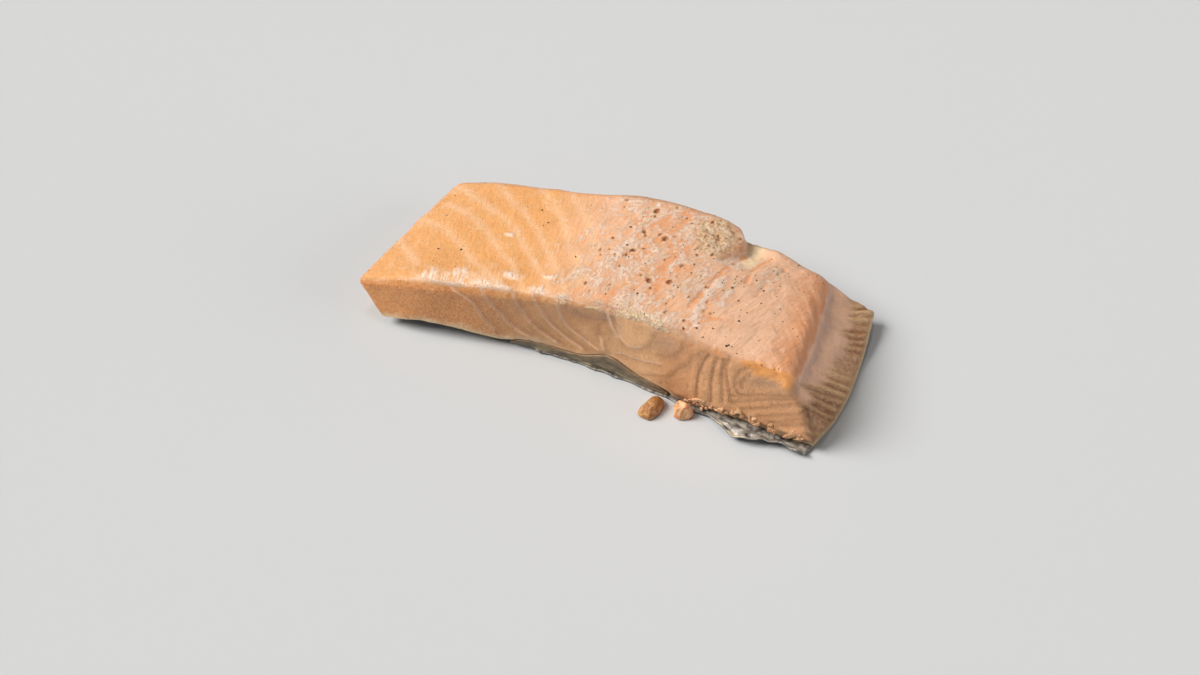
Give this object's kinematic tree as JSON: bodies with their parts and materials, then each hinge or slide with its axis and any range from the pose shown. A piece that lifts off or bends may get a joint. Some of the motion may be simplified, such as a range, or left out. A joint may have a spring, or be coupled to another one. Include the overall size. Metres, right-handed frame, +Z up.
{
  "type": "cooked salmon fillet",
  "caption": "Cooked salmon fillet portion lying on its dark skin, thin at the belly end, with flaky cut faces, a ribbed sloping end and a cleft in the back edge.",
  "frame": {"origin": "middle of the whole fillet's box, on the surface that it lies on", "axes": "+X along the cut faces from the thin belly end to the thick ribbed end, +Y from the front cut face to the back one, +Z up"},
  "size_m": [0.173, 0.0728, 0.0338],
  "materials": {
    "flesh": "moist cooked salmon flesh, orange at the thin end, pale peach with white curd at the thick end",
    "dark_muscle": "moist grey-brown lateral muscle",
    "skin": "wet silver-grey fish skin, scaled and wrinkled",
    "fat": "moist tan scrap of fatty flesh"
  },
  "bodies": {
    "root": {"flesh": "flesh", "dark_muscle": "dark_muscle", "skin": "skin", "fat_scrap": "fat", "flesh_scrap": "flesh"}
  },
  "joints": []
}
